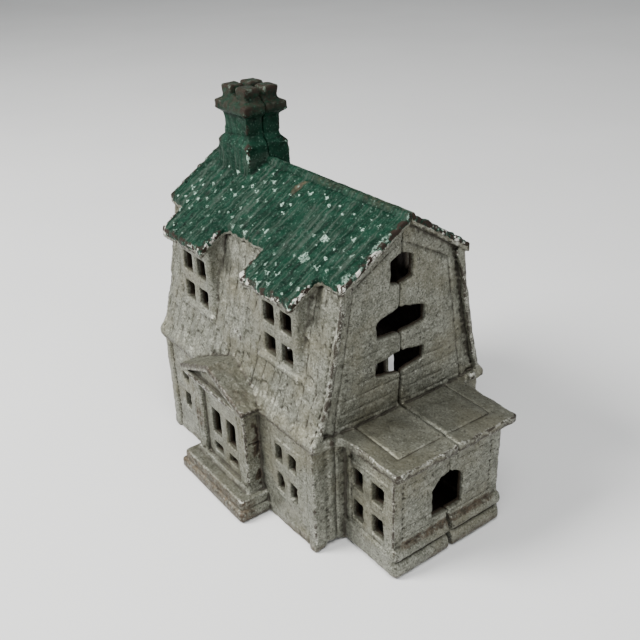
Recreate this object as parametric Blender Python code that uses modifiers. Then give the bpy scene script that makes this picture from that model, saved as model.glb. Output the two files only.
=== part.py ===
"""Cast iron still bank in the shape of a gambrel-roofed house with a side porch.

The bank is two hollow half castings, a front and a rear, that meet along the ridge and the
middle of both gable walls. One machine screw goes in from the rear, through a post in the rear
casting, and into a tapped post in the front casting. Turning it out lets the halves part.

House axes, in millimetres: X along the ridge towards the porch, -Y out of the front door,
Z up, with the seam at Y = 0 and the front door at X = 0. An empty carries the whole house, so
that the origin lies under the middle of its box.
"""

from math import pi

import bmesh
import bpy
from mathutils import Matrix, Vector

MM = 0.001
FRONT = -1
REAR = 1

# Castings
WALL = 2.2                # thickness of the cast walls
SEAM = 0.15               # each casting stops this short of the middle
FLOOR = 2.2               # top of the floor plate
OVER = -1.0               # solids start past the seam and the ground, and are trimmed back last

# House body
BODY_X = 36.6             # half length between the gable walls
BODY_Y = 26.6             # half depth between the long walls
STEEP_X = 38.0            # half length of the steep lower roof
EAVE_Y = 27.85            # tip of the flared lower eave
EAVE_Z = 33.2
EAVE_DROP = 2.0           # depth of the flared eave

# Upper roof
ROOF_X = 39.3             # half length, with the overhang of the rakes
ROOF_Y = 18.85            # half depth at the upper eave
ROOF_Z = 71.9
RIDGE_Z = 84.0
ROOF_DROP = 2.6           # thickness of the roof, measured upright
PITCH = (RIDGE_Z - ROOF_Z) / ROOF_Y

# Dormers, two on each side
DORMER_X = 19.5           # middle of a dormer from the middle of the house
DORMER_HALF = 8.3
DORMER_Y = 23.6           # face of a dormer
DORMER_FOOT = 45.2
DORMER_ROOF_HALF = 10.6
DORMER_ROOF_Y = 26.65
DORMER_TOP = 66.4
DORMER_BACK = 14.0        # how far into the roof a dormer starts
DORMER_CAVITY = (10.0, 21.6, 46.4, 64.6)   # back, face, floor, ceiling

# Side porch
PORCH_X = 54.2            # face of the end wall
PORCH_Y = 17.5
PLINTH_X = 55.7           # face of the base tier and of the ledge over it
PLINTH_Y = 18.0
PLINTH_Z = 4.6
LEDGE_LOW = 5.2
LEDGE_HIGH = 8.6
PORCH_ROOF_X = 57.2
PORCH_ROOF_Y = 19.3
PORCH_ROOF_Z = 33.1
PORCH_ROOF_DROP = 2.5

# Portico and front step
PORTICO_HALF = 13.0
PORTICO_Y = 31.2
PORTICO_TOP = 33.0
PORTICO_RECESS_Y = 30.1
ROOT_Y = 25.2             # the portico's solids start inside the front wall,
ROOT_STEP = 0.2           # each at its own depth
PEDIMENT_HALF = 16.1
PEDIMENT_Y = 33.4
PEDIMENT_EAVE_Z = 33.2
PEDIMENT_APEX_Z = 39.8
TYMPANUM_HALF = 12.2
TYMPANUM_DEEP = 1.1
STEP_HALF = 16.1
STEP_Y = 36.1
STEP_TIER_Z = 3.2
STEP_TOP_Z = 6.2
STEP_SETBACK = 0.8

# Chimney
CHIMNEY_X = -23.87
CHIMNEY_TOP = 101.6
CHIMNEY_SECTIONS = (      # height, half width along X, half depth along Y
    (76.0, 7.7, 6.7),
    (86.8, 7.7, 6.7),
    (88.6, 5.9, 5.2),
    (94.3, 5.9, 5.2),
    (95.5, 7.6, 6.8),
    (97.2, 7.6, 6.8),
    (98.2, 5.9, 5.2),
    (CHIMNEY_TOP, 5.9, 5.2),
)
CROWN_GROOVE = 1.2        # half width of the grooves that divide the crown
CROWN_GROOVE_Z = 98.9

# Coin slot, in the rear slope of the upper roof
SLOT_LENGTH = 34.0
SLOT_WIDTH = 3.4
SLOT_Y = 9.5

# Screw and the posts it joins
SCREW_Z = 42.0
SCREW_R = 2.4
BORE_R = 2.7
POST_R = 4.6
POST_END_Y = 23.0         # the front post ends inside the front wall
BOSS_Y = 14.0             # the rear post widens from here to its end in the rear wall
BOSS_END_Y = 22.2
BOSS_R = 6.8
HEAD_R = 4.4
HEAD_HIGH = 2.6
RECESS_R = 5.0
RECESS_Y = 20.4           # floor of the recess for the head
SCREW_TIP_Y = -10.5
BORE_END_Y = -12.5
SCREW_SEGMENTS = 24

# Middle of the whole bank, under which the origin lies
CENTRE_X = (PORCH_ROOF_X - ROOF_X) / 2
CENTRE_Y = (EAVE_Y - STEP_Y) / 2

# Window and door openings: low and high corners on the wall they are cut in
WALL_PANES = ((-4.45, -1.3), (1.3, 4.45))
WALL_ROWS = ((10.7, 16.1), (19.7, 25.1))
WALL_WINDOW_X = 24.75
FRONT_WINDOW_X = 23.35     # the front window at the chimney end stands nearer the door
DORMER_PANES = ((-5.9, -1.3), (1.3, 5.9))
DORMER_ROWS = ((47.2, 52.2), (55.5, 60.9))
DOOR_PANES = ((-6.0, -1.5), (1.5, 6.0))
DOOR_ROWS = ((9.0, 12.0), (15.0, 23.1))
REAR_DOOR_ROWS = ((9.0, 12.0), (15.0, 24.3))
DOOR_HALF = 9.2           # of the recess round the front door and of the leaf at the back
DOOR_HEAD = 29.0
REAR_DOOR_HEAD = 28.4
REAR_DOOR_PROUD = 0.8
PORCH_PANES = ((-5.8, -1.65), (1.65, 5.8))
PORCH_ROWS = ((9.2, 15.1), (18.9, 24.6))
PORCH_WINDOW_X = 45.1
END_WINDOW_Y = 13.0       # lower windows in the gable wall away from the porch
GABLE_WINDOWS = (         # half width, sill, sill at the seam, head, head at the seam
    (3.4, 66.9, 66.1, 72.3, 73.5),
    (7.6, 54.0, 53.2, 58.3, 60.0),
    (7.6, 43.5, 42.3, 46.9, 48.4),
)
PORCH_DOOR = ((5.0, 11.5), (5.0, 20.4), (3.8, 21.6))
PORCH_DOOR_TOP = 23.2


def empty_scene():
    for item in list(bpy.data.objects):
        bpy.data.objects.remove(item)


def new_collection(name, parent):
    group = bpy.data.collections.new(name)
    parent.children.link(group)
    return group


def link_mesh(name, mesh, group):
    """Make an object of a bmesh in millimetres and put it in a collection."""
    bmesh.ops.recalc_face_normals(mesh, faces=mesh.faces)
    bmesh.ops.scale(mesh, vec=(MM, MM, MM), verts=mesh.verts)
    data = bpy.data.meshes.new(name)
    mesh.to_mesh(data)
    mesh.free()
    item = bpy.data.objects.new(name, data)
    group.objects.link(item)
    return item


def box(name, group, low, high):
    """A box between two corners, given in any order."""
    mesh = bmesh.new()
    bmesh.ops.create_cube(mesh, size=1.0)
    size = [abs(b - a) for a, b in zip(low, high)]
    middle = [(a + b) / 2 for a, b in zip(low, high)]
    bmesh.ops.scale(mesh, vec=size, verts=mesh.verts)
    bmesh.ops.translate(mesh, vec=middle, verts=mesh.verts)
    return link_mesh(name, mesh, group)


def prism(name, group, outline, axis, start, end):
    """Extrude an outline along X or Y. It holds (y, z) pairs for X and (x, z) pairs for Y."""
    mesh = bmesh.new()
    if axis == "X":
        points = [(start, a, b) for a, b in outline]
        step = Vector((end - start, 0, 0))
    else:
        points = [(a, start, b) for a, b in outline]
        step = Vector((0, end - start, 0))
    face = mesh.faces.new([mesh.verts.new(point) for point in points])
    grown = bmesh.ops.extrude_face_region(mesh, geom=[face])["geom"]
    moved = [part for part in grown if isinstance(part, bmesh.types.BMVert)]
    bmesh.ops.translate(mesh, vec=step, verts=moved)
    return link_mesh(name, mesh, group)


def rod(name, group, radius, start_y, end_y, end_radius=None):
    """A round bar along Y at the screw's height, tapered if it has an end radius."""
    mesh = bmesh.new()
    last = radius if end_radius is None else end_radius
    bmesh.ops.create_cone(mesh, cap_ends=True, segments=SCREW_SEGMENTS, radius1=radius,
                          radius2=last, depth=abs(end_y - start_y))
    quarter = -pi / 2 if end_y > start_y else pi / 2
    bmesh.ops.rotate(mesh, matrix=Matrix.Rotation(quarter, 3, "X"), verts=mesh.verts)
    bmesh.ops.translate(mesh, vec=(0, (start_y + end_y) / 2, SCREW_Z), verts=mesh.verts)
    return link_mesh(name, mesh, group)


def chimney_half(group, side):
    """Extrude and scale one rectangle up through the chimney's sections."""
    mesh = bmesh.new()
    bottom, half_x, half_y = CHIMNEY_SECTIONS[0]

    def corners(z, hx, hy):
        near = side * OVER
        far = side * hy
        return [(CHIMNEY_X - hx, near, z), (CHIMNEY_X + hx, near, z),
                (CHIMNEY_X + hx, far, z), (CHIMNEY_X - hx, far, z)]

    rim = [mesh.verts.new(point) for point in corners(bottom, half_x, half_y)]
    base = mesh.faces.new(rim)
    top = base
    for z, hx, hy in CHIMNEY_SECTIONS[1:]:
        grown = bmesh.ops.extrude_face_region(mesh, geom=[top])["geom"]
        if top is not base:
            bmesh.ops.delete(mesh, geom=[top], context="FACES_ONLY")
        top = [part for part in grown if isinstance(part, bmesh.types.BMFace)][0]
        for vert, point in zip(top.verts, corners(z, hx, hy)):
            vert.co = point
    return link_mesh("chimney", mesh, group)


def flip(outline, side):
    """Put a (y, z) outline on the casting's own side of the seam."""
    return [(side * y, z) for y, z in outline]


def body_outline():
    """Outer section of one half of the house, with a flared eave and a bell-cast steep roof."""
    return [
        (OVER, OVER),
        (BODY_Y, OVER),
        (BODY_Y, EAVE_Z - EAVE_DROP),
        (EAVE_Y, EAVE_Z - 0.7),
        (EAVE_Y, EAVE_Z),
        (25.8, 36.4),
        (24.3, 41.5),
        (22.8, 48.0),
        (18.4, ROOF_Z - 3.0),
        (17.2, ROOF_Z - 0.3),
        (OVER, RIDGE_Z - ROOF_DROP + 0.6),
    ]


def cavity_outline():
    return [
        (2 * OVER, FLOOR),
        (BODY_Y - WALL, FLOOR),
        (BODY_Y - WALL, EAVE_Z - 1.6),
        (23.4, 36.6),
        (22.0, 41.6),
        (20.5, 48.0),
        (16.3, ROOF_Z - 3.4),
        (15.0, RIDGE_Z - 3.2 - 15.0 * PITCH),
        (2 * OVER, RIDGE_Z - 3.2 - 2 * OVER * PITCH),
    ]


def roof_outline(reach, tip):
    """One slope of the upper roof out to a reach, with an upright edge of the given height."""
    edge_z = RIDGE_Z - PITCH * reach
    return [
        (OVER, RIDGE_Z - OVER * PITCH),
        (reach, edge_z),
        (reach - 0.3, edge_z - tip),
        (OVER, RIDGE_Z - ROOF_DROP - OVER * PITCH),
    ]


def cut_panes(group, name, middle, panes, rows, side, near, far):
    """Cut a window of two columns and two rows through a wall that faces along Y."""
    for column, (left, right) in enumerate(panes):
        for row, (sill, head) in enumerate(rows):
            box(f"{name}_{column}_{row}", group, (middle + left, side * near, sill),
                (middle + right, side * far, head))


def add_dormers(adds, cuts, side):
    for end in (-1, 1):
        middle = end * DORMER_X
        box("dormer_body", adds, (middle - DORMER_HALF, side * DORMER_BACK, DORMER_FOOT),
            (middle + DORMER_HALF, side * DORMER_Y, DORMER_TOP))
        prism("dormer_roof", adds, flip(roof_outline(DORMER_ROOF_Y, 1.8), side), "X",
              middle - DORMER_ROOF_HALF, middle + DORMER_ROOF_HALF)
        back, face, floor, ceiling = DORMER_CAVITY
        box("dormer_cavity", cuts, (middle - DORMER_HALF + WALL, side * back, floor),
            (middle + DORMER_HALF - WALL, side * face, ceiling))
        cut_panes(cuts, "dormer_pane", middle, DORMER_PANES, DORMER_ROWS, side, 18.0, 25.0)


def add_porch(adds, cuts, side):
    near = side * OVER
    box("porch_body", adds, (BODY_X - 2, near, OVER), (PORCH_X, side * PORCH_Y, 31.6))
    box("porch_plinth", adds, (BODY_X - 1.8, near, OVER),
        (PLINTH_X, side * PLINTH_Y, PLINTH_Z))
    box("porch_ledge", adds, (PORCH_X - 1, near, LEDGE_LOW),
        (PLINTH_X, side * (PLINTH_Y + 0.4), LEDGE_HIGH))
    box("porch_roof", adds, (BODY_X - 1.6, near, PORCH_ROOF_Z - PORCH_ROOF_DROP),
        (PORCH_ROOF_X, side * PORCH_ROOF_Y, PORCH_ROOF_Z))
    box("eave_return", adds, (BODY_X - 1, side * (PORCH_ROOF_Y - 1), EAVE_Z - EAVE_DROP),
        (STEEP_X + 0.4, side * (EAVE_Y - 0.6), EAVE_Z - 0.1))
    box("porch_cavity", cuts, (BODY_X - 4, 3 * near, FLOOR + 0.01),
        (PORCH_X - WALL, side * (PORCH_Y - WALL), PORCH_ROOF_Z - PORCH_ROOF_DROP - 0.2))
    cut_panes(cuts, "porch_pane", PORCH_WINDOW_X, PORCH_PANES, PORCH_ROWS, side, 14.0, 19.0)
    door = [(4 * OVER, PORCH_DOOR[0][1]), *PORCH_DOOR, (4 * OVER, PORCH_DOOR_TOP)]
    prism("porch_door", cuts, flip(door, side), "X", PORCH_X - 4, PORCH_X + 1)


def add_portico(adds, cuts):
    """The front portico: a gabled roof on a shallow room, over a step of two tiers."""
    box("portico_body", adds, (-PORTICO_HALF, -ROOT_Y, OVER),
        (PORTICO_HALF, -PORTICO_Y, PORTICO_TOP))
    gable = [(-PEDIMENT_HALF, PEDIMENT_EAVE_Z), (0, PEDIMENT_APEX_Z),
             (PEDIMENT_HALF, PEDIMENT_EAVE_Z), (PEDIMENT_HALF - 0.5, PEDIMENT_EAVE_Z - 2.0),
             (0.5 - PEDIMENT_HALF, PEDIMENT_EAVE_Z - 2.0)]
    prism("portico_roof", adds, gable, "Y", 3 * ROOT_STEP - ROOT_Y, -PEDIMENT_Y)
    box("step_lower", adds, (-STEP_HALF, -ROOT_Y - ROOT_STEP, OVER),
        (STEP_HALF, -STEP_Y, STEP_TIER_Z))
    box("step_upper", adds, (STEP_SETBACK - STEP_HALF, -ROOT_Y - 2 * ROOT_STEP, 1.0),
        (STEP_HALF - STEP_SETBACK, STEP_SETBACK - STEP_Y, STEP_TOP_Z))
    tympanum = [(-TYMPANUM_HALF, PEDIMENT_EAVE_Z - 0.2), (0, PEDIMENT_APEX_Z - 1.9),
                (TYMPANUM_HALF, PEDIMENT_EAVE_Z - 0.2)]
    prism("tympanum", cuts, tympanum, "Y", -PEDIMENT_Y - 1, TYMPANUM_DEEP - PEDIMENT_Y)
    box("door_recess", cuts, (-DOOR_HALF, -PORTICO_Y - 1, STEP_TOP_Z + 0.6),
        (DOOR_HALF, -PORTICO_RECESS_Y, DOOR_HEAD))
    box("portico_cavity", cuts, (WALL - PORTICO_HALF, -18.0, FLOOR + 0.02),
        (PORTICO_HALF - WALL, WALL - PORTICO_RECESS_Y, PORTICO_TOP - WALL - 0.2))
    cut_panes(cuts, "door_pane", 0, DOOR_PANES, DOOR_ROWS, FRONT, 26.0, PORTICO_Y + 1)


def add_rear_door(adds, cuts):
    """The back door, a flat leaf with a raised surround, and the coin slot above it."""
    box("rear_door", adds, (-DOOR_HALF, ROOT_Y + ROOT_STEP, OVER),
        (DOOR_HALF, BODY_Y + REAR_DOOR_PROUD, REAR_DOOR_HEAD))
    cut_panes(cuts, "rear_door_pane", 0, DOOR_PANES, REAR_DOOR_ROWS, REAR, 22.0, BODY_Y + 2)
    slot_z = RIDGE_Z - PITCH * SLOT_Y
    box("coin_slot", cuts, (-SLOT_LENGTH / 2, SLOT_Y - SLOT_WIDTH / 2, slot_z - 8),
        (SLOT_LENGTH / 2, SLOT_Y + SLOT_WIDTH / 2, slot_z + 5))


def cut_gables(cuts, side):
    for end in (-1, 1):
        for half, sill, seam_sill, head, seam_head in GABLE_WINDOWS:
            outline = [(3 * OVER, seam_sill), (half, sill), (half, head), (3 * OVER, seam_head)]
            prism("gable_window", cuts, flip(outline, side), "X",
                  end * (BODY_X - 4), end * (BODY_X + 3))
    for left, right in WALL_PANES:
        for sill, head in WALL_ROWS:
            box("end_pane", cuts, (-BODY_X - 2, side * (END_WINDOW_Y + left), sill),
                (4 - BODY_X, side * (END_WINDOW_Y + right), head))


def boolean(item, operation, group):
    """Join to an object, or cut from it, each object of a collection in turn."""
    for tool in group.objects:
        step = item.modifiers.new(tool.name, "BOOLEAN")
        step.operation = operation
        step.object = tool
        step.solver = "EXACT"


def casting(name, side, parts, tools):
    """One half casting: a body, what stands out of it, its hollow, then the screw's post."""
    adds = new_collection(f"{name}_adds", tools)
    cuts = new_collection(f"{name}_cuts", tools)
    posts = new_collection(f"{name}_posts", tools)
    bores = new_collection(f"{name}_bores", tools)
    limits = new_collection(f"{name}_limits", tools)
    past = side * OVER

    shell = prism(name, parts, flip(body_outline(), side), "X", -BODY_X, BODY_X)
    steep = body_outline()[2:10]
    inside = [(17.2, ROOF_Z - 5.0), (23.0, EAVE_Z - EAVE_DROP)]
    prism("steep_roof", adds, flip(steep + inside, side), "X", -STEEP_X, STEEP_X)
    prism("upper_roof", adds, flip(roof_outline(ROOF_Y, 1.8), side), "X", -ROOF_X, ROOF_X)
    add_dormers(adds, cuts, side)
    add_porch(adds, cuts, side)
    chimney_half(adds, side)
    box("crown_groove", cuts, (CHIMNEY_X - CROWN_GROOVE, 2 * past, CROWN_GROOVE_Z),
        (CHIMNEY_X + CROWN_GROOVE, side * 8, CHIMNEY_TOP + 1))
    prism("cavity", cuts, flip(cavity_outline(), side), "X", WALL - BODY_X, BODY_X - WALL)
    cut_gables(cuts, side)
    for end in (-1, 1):
        middle = FRONT_WINDOW_X if side == FRONT and end < 0 else WALL_WINDOW_X
        cut_panes(cuts, "wall_pane", end * middle, WALL_PANES, WALL_ROWS, side, 22, 28)

    if side == FRONT:
        add_portico(adds, cuts)
        rod("post", posts, POST_R, past, -POST_END_Y)
        rod("tapped_bore", bores, BORE_R, 2 * past, BORE_END_Y)
    else:
        add_rear_door(adds, cuts)
        rod("post", posts, POST_R, past, BOSS_Y + 1)
        rod("boss", posts, POST_R, BOSS_Y, BOSS_END_Y, BOSS_R)
        rod("clear_bore", bores, BORE_R, 2 * past, RECESS_Y + 1)
        rod("head_recess", bores, RECESS_R, RECESS_Y, EAVE_Y)

    boolean(shell, "UNION", adds)
    boolean(shell, "DIFFERENCE", cuts)
    boolean(shell, "UNION", posts)
    boolean(shell, "DIFFERENCE", bores)
    box("limit", limits, (-100, side * SEAM, 0), (100, side * 100, 200))
    boolean(shell, "INTERSECT", limits)
    return shell


def machine_screw(parts, tools):
    """The round-headed slotted screw, turned about its own axis with its head at +Z."""
    head_seat = RECESS_Y + 0.3
    length = head_seat - SCREW_TIP_Y
    profile = [
        (0, HEAD_HIGH),
        (2.2, HEAD_HIGH - 0.25),
        (3.6, HEAD_HIGH - 1.0),
        (HEAD_R, HEAD_HIGH - 2.0),
        (HEAD_R, 0),
        (SCREW_R, 0),
        (SCREW_R, -length + 0.8),
        (SCREW_R - 0.8, -length),
        (0, -length),
    ]
    data = bpy.data.meshes.new("screw")
    points = [(r * MM, 0, z * MM) for r, z in profile]
    data.from_pydata(points, [(i, i + 1) for i in range(len(points) - 1)], [])
    item = bpy.data.objects.new("screw", data)
    parts.objects.link(item)
    turn = item.modifiers.new("turn", "SCREW")
    turn.axis = "Z"
    turn.steps = SCREW_SEGMENTS
    turn.render_steps = SCREW_SEGMENTS
    turn.use_merge_vertices = True
    turn.merge_threshold = 0.00001
    item.rotation_euler = (-pi / 2, 0, 0)
    item.location = (0, head_seat * MM, SCREW_Z * MM)

    slots = new_collection("screw_slots", tools)
    box("driver_slot", slots, (-6.0, head_seat + HEAD_HIGH - 1.3, SCREW_Z - 0.6),
        (6.0, head_seat + HEAD_HIGH + 1, SCREW_Z + 0.6))
    boolean(item, "DIFFERENCE", slots)
    return item


def paint(item, name, colour, roughness, metallic):
    material = bpy.data.materials.new(name)
    material.use_nodes = True
    shader = material.node_tree.nodes["Principled BSDF"]
    shader.inputs["Base Color"].default_value = (*colour, 1.0)
    shader.inputs["Roughness"].default_value = roughness
    shader.inputs["Metallic"].default_value = metallic
    item.data.materials.append(material)


def main():
    empty_scene()
    root = bpy.context.scene.collection
    parts = new_collection("house_still_bank", root)
    tools = new_collection("cutters", root)
    front = casting("front_casting", FRONT, parts, tools)
    rear = casting("rear_casting", REAR, parts, tools)
    screw = machine_screw(parts, tools)
    paint(front, "front_aluminium_paint", (0.34, 0.33, 0.30), 0.5, 0.4)
    paint(rear, "rear_aluminium_paint", (0.34, 0.33, 0.30), 0.5, 0.4)
    paint(screw, "screw_steel", (0.20, 0.17, 0.14), 0.45, 0.9)

    house = bpy.data.objects.new("house", None)
    root.objects.link(house)
    house.location = (-CENTRE_X * MM, -CENTRE_Y * MM, 0)
    for item in list(parts.objects) + list(tools.all_objects):
        item.parent = house
    for item in tools.all_objects:
        item.hide_render = True
        item.display_type = "WIRE"


main()
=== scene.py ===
"""The looks of the cast iron house bank: two half castings and the screw that joins them.

Each casting is worked out as a distance field, in millimetres, on a grid over one half of the
house, and then meshed. House axes: x along the ridge towards the porch, out = distance from the
seam, away from it on the casting's own side, z up. The middle of the house is at x = 0.
"""

from math import atan, cos, pi, radians, sin

import bpy
import numpy as np
import openvdb
from mathutils import Matrix, Vector


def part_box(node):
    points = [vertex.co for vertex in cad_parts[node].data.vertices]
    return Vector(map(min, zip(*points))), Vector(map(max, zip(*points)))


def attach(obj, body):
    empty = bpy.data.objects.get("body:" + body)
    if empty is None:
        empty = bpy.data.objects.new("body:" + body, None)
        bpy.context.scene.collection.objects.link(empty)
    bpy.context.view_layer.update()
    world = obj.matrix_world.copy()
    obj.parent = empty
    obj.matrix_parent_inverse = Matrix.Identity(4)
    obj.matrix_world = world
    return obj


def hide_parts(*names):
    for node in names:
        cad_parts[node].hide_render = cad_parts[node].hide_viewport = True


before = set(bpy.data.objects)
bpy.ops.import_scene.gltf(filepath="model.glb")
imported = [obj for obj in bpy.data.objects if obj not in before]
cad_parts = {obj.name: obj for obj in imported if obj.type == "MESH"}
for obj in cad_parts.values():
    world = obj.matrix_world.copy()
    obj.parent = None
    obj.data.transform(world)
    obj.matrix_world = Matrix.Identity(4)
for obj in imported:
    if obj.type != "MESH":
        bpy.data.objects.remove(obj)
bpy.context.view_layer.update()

MM = 0.001
FRONT = -1
REAR = 1
CELL = 0.3  # grid step of a casting
SCREW_CELL = 0.13
MOST_FACES = 190000  # triangles kept in one casting
SCREW_FACES = 60000
REACH = 3.0  # the field is only kept this close to a surface


def pair(near, far):
    """Two columns of panes on both sides of a middle bar."""
    return (-far, -near), (near, far)


# House body
BODY_X = 36.6
BODY_Y = 26.6
WALL = 2.2
FLOOR = 2.2
STEEP_X = 38.0
EAVE_Y = 27.85
EAVE_Z = 33.2

# Upper roof
ROOF_X = 39.3
ROOF_Y = 18.85
ROOF_Z = 71.9
RIDGE_Z = 84.0
ROOF_THICK = 2.2  # across the slope
PITCH = (RIDGE_Z - ROOF_Z) / ROOF_Y
SLOPE = atan(PITCH)

TILE = (2.9, 3.1)  # a shingle's width and length, down the slope
TILE_SEED = 34
SLAT = (3.3, 5.6)  # the same on the steep roof

# Large bare chips: place along the ridge and out from the seam, and half sizes along and out
LARGE_CHIPS = (
    (23.5, 12.0, 1.7, 0.9),
    (22.9, 17.4, 2.0, 1.1),
    (38.2, 8.6, 0.8, 2.8),
    (38.0, 17.0, 1.5, 1.3),
)

# Windows of the long walls, and the end walls' pairs
WINDOW_X = 24.75
WINDOW_SHIFT = 1.4  # the front one at the chimney end is nearer the door
WINDOW_COLUMNS = pair(1.3, 4.45)
WINDOW_ROWS = ((10.7, 16.1), (19.7, 25.1))
END_WINDOW_Y = 13.0

# Coin slot, in the rear slope
SLOT_Y = 9.5
SLOT_HALF = (17.0, 1.7)

# Dormers
DORMER_X = 19.5
DORMERS = (-DORMER_X, DORMER_X)
DORMER_HALF = 8.3
DORMER_Y = 23.6
DORMER_FOOT = 45.2
DORMER_ROOF_HALF = 10.6
DORMER_ROOF_Y = 26.65

# Side porch
PORCH_X = 54.2
PORCH_Y = 17.5
PORCH_WINDOW_X = 45.1
PLINTH_X = 55.7
PLINTH_Y = 18.0
PLINTH_Z = 4.6
LEDGE_LOW = 5.2
LEDGE_HIGH = 8.6
PORCH_ROOF_X = 57.2
PORCH_ROOF_Y = 19.3
PORCH_ROOF_Z = 33.1
PORCH_ROOF_LOW = 30.6

# Portico and step
PORTICO_HALF = 13.0
PORTICO_Y = 31.2
PEDIMENT_HALF = 16.1
PEDIMENT_Y = 33.4
PEDIMENT_EAVE_Z = 33.2
PEDIMENT_APEX_Z = 39.8
STEP_HALF = 16.1
STEP_Y = 36.1
STEP_TIER_Z = 3.2
STEP_TOP_Z = 6.2

# Chimney: height, half width along x, half depth out from the seam
CHIMNEY_X = -23.87
CHIMNEY_TOP = 101.6
CHIMNEY_SECTIONS = (
    (76.0, 7.7, 6.7),
    (86.8, 7.7, 6.7),
    (88.6, 5.9, 5.2),
    (94.0, 5.9, 5.2),
    (95.2, 7.6, 6.8),
    (97.3, 7.6, 6.8),
    (98.4, 5.9, 5.2),
    (CHIMNEY_TOP, 5.9, 5.2),
)

# Screw
SCREW_Z = 42.0
SCREW_R = 2.4
THREAD_PITCH = 1.058
POST_R = 4.6
BORE_R = 2.7
BOSS_R = 6.8
BOSS_END = 22.2
RECESS_R = 5.0
RECESS_FLOOR = 20.4
HEAD_R = 4.4
HEAD_SEAT = 20.7
HEAD_HIGH = 2.6
SCREW_TIP = -10.5

# The house's own origin in the frame. The solids stand this far off the seam plane.
HALF_GAP = 0.15
ORIGIN_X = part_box("front_casting")[0].x + ROOF_X * MM
ORIGIN_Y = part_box("rear_casting")[0].y - HALF_GAP * MM


# ---- numbers ----


def noise(axes, size, seed):
    """Smooth random values from -1 to 1, with blobs of a given size, one dimension to an axis."""
    count = 64
    field = np.random.default_rng(seed).uniform(-1, 1, (count,) * len(axes)).astype(np.float32)
    for n, axis in enumerate(axes):
        place = np.asarray(axis, np.float32).ravel() / size + 1000
        low = np.floor(place).astype(int)
        t = place - low
        shape = [1] * len(axes)
        shape[n] = -1
        t = (t * t * (3 - 2 * t)).reshape(shape).astype(np.float32)
        field = (np.take(field, low % count, axis=n) * (1 - t)
                 + np.take(field, (low + 1) % count, axis=n) * t)
    return field


def ramp(value, start, end):
    """0 before start, 1 past end, and smooth between. End may be below start."""
    t = np.clip((value - start) / (end - start), 0, 1)
    return t * t * (3 - 2 * t)


def blend_min(a, b, k):
    if k <= 0:
        return np.minimum(a, b)
    h = np.maximum(k - np.abs(a - b), 0) / k
    return np.minimum(a, b) - h * h * k / 4


def groove(value, middle, half):
    """1 on a line at the middle, falling to 0 at half a width from it."""
    return np.maximum(0, 1 - np.abs(value - middle) / half)


def polygon_distance(a, b, corners):
    """Signed distance from points of a plane to a polygon, negative inside."""
    a, b = np.broadcast_arrays(a, b)
    best = np.full(a.shape, 1e9, np.float32)
    inside = np.zeros(a.shape, bool)
    for (ax, ay), (bx, by) in zip(corners, corners[1:] + corners[:1]):
        ex, ey = bx - ax, by - ay
        px, py = a - ax, b - ay
        t = np.clip((px * ex + py * ey) / (ex * ex + ey * ey), 0, 1)
        best = np.minimum(best, (px - ex * t) ** 2 + (py - ey * t) ** 2)
        if ey != 0:
            crosses = ((ay > b) != (by > b)) & (a < ex * (b - ay) / ey + ax)
            inside ^= crosses
    distance = np.sqrt(best)
    return np.where(inside, -distance, distance).astype(np.float32)


def both(a, b, radius=0.0):
    """Distance to what lies in a and in b, with their meeting edge rounded."""
    a, b = a + radius, b + radius
    outer = np.sqrt(np.maximum(a, 0) ** 2 + np.maximum(b, 0) ** 2)
    return outer + np.minimum(np.maximum(a, b), 0) - radius


def box2(a, b, half_a, half_b, radius=0.0):
    """Signed distance to a rectangle round the origin of a plane."""
    return both(np.abs(a) - half_a, np.abs(b) - half_b, radius)


def blur(field, cells):
    """Box blur, twice, along each axis."""
    for _ in range(2):
        for axis in range(3):
            pad = [(0, 0)] * 3
            pad[axis] = (cells + 1, cells)
            total = np.cumsum(np.pad(field, pad, mode="edge"), axis=axis, dtype=np.float64)
            count = field.shape[axis]
            width = 2 * cells + 1
            high = np.take(total, np.arange(width, width + count), axis=axis)
            low = np.take(total, np.arange(0, count), axis=axis)
            field = ((high - low) / width).astype(np.float32)
    return field


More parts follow.
